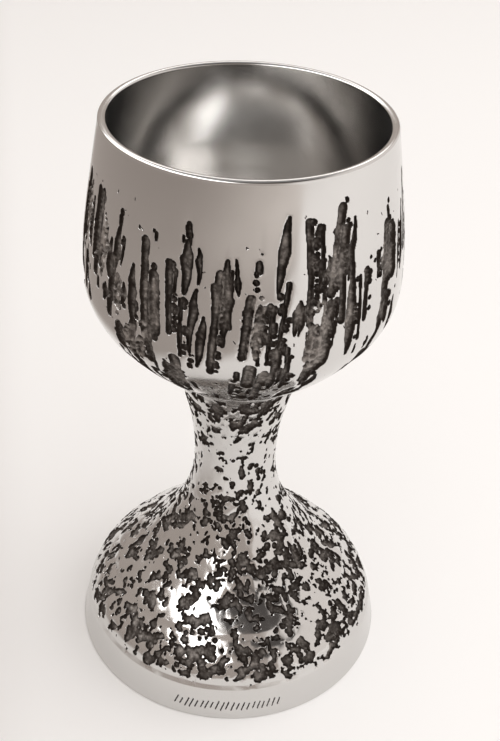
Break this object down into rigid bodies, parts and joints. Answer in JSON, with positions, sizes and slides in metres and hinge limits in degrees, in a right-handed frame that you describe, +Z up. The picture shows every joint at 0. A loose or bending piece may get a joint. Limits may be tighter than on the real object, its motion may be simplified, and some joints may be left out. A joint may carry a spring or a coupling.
{
  "type": "goblet",
  "caption": "Cast metal goblet: a deep hollow bowl with upright gouged texture on a waisted stem that flares into a domed, pitted, hollow foot.",
  "frame": {"origin": "centre of the foot's underside, on the surface the goblet stands on", "axes": "+Z up along the turning axis to the rim; -Y is the side with the row of shallow strokes, which faces the picture's camera"},
  "size_m": [0.0882, 0.0882, 0.16],
  "materials": {
    "bowl_metal": null,
    "foot_metal": "polished cast pewter with blackened pits on the stem, dome and belt, and a plain polished band at the base"
  },
  "bodies": {
    "root": {"bowl": "bowl_metal", "stem_and_foot": "foot_metal"}
  },
  "joints": []
}
